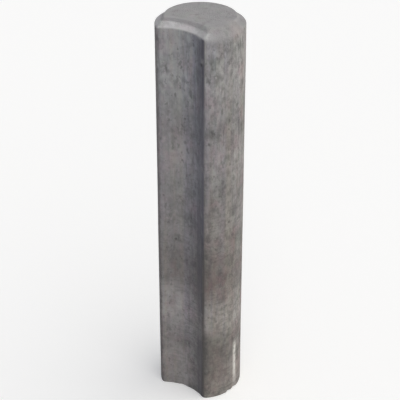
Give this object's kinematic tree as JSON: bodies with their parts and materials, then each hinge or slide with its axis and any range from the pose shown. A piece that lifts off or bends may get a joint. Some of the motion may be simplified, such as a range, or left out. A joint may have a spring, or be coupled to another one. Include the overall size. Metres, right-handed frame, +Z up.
{
  "type": "palisade kerb stone",
  "caption": "Round concrete palisade kerb stone with a groove down one side that takes the next stone's round back, and a bevelled head; stands upright as edging for beds, paths and steps.",
  "frame": {"origin": "on the foot, where the axis of the round back meets it", "axes": "+Z up along the stone; -Y out of the groove; +X to the right when the groove is seen from in front"},
  "size_m": [0.124, 0.1098, 0.6],
  "materials": {
    "concrete": "rough cast concrete, grey, weathered"
  },
  "bodies": {
    "root": {"kerb_stone": "concrete"}
  },
  "joints": []
}
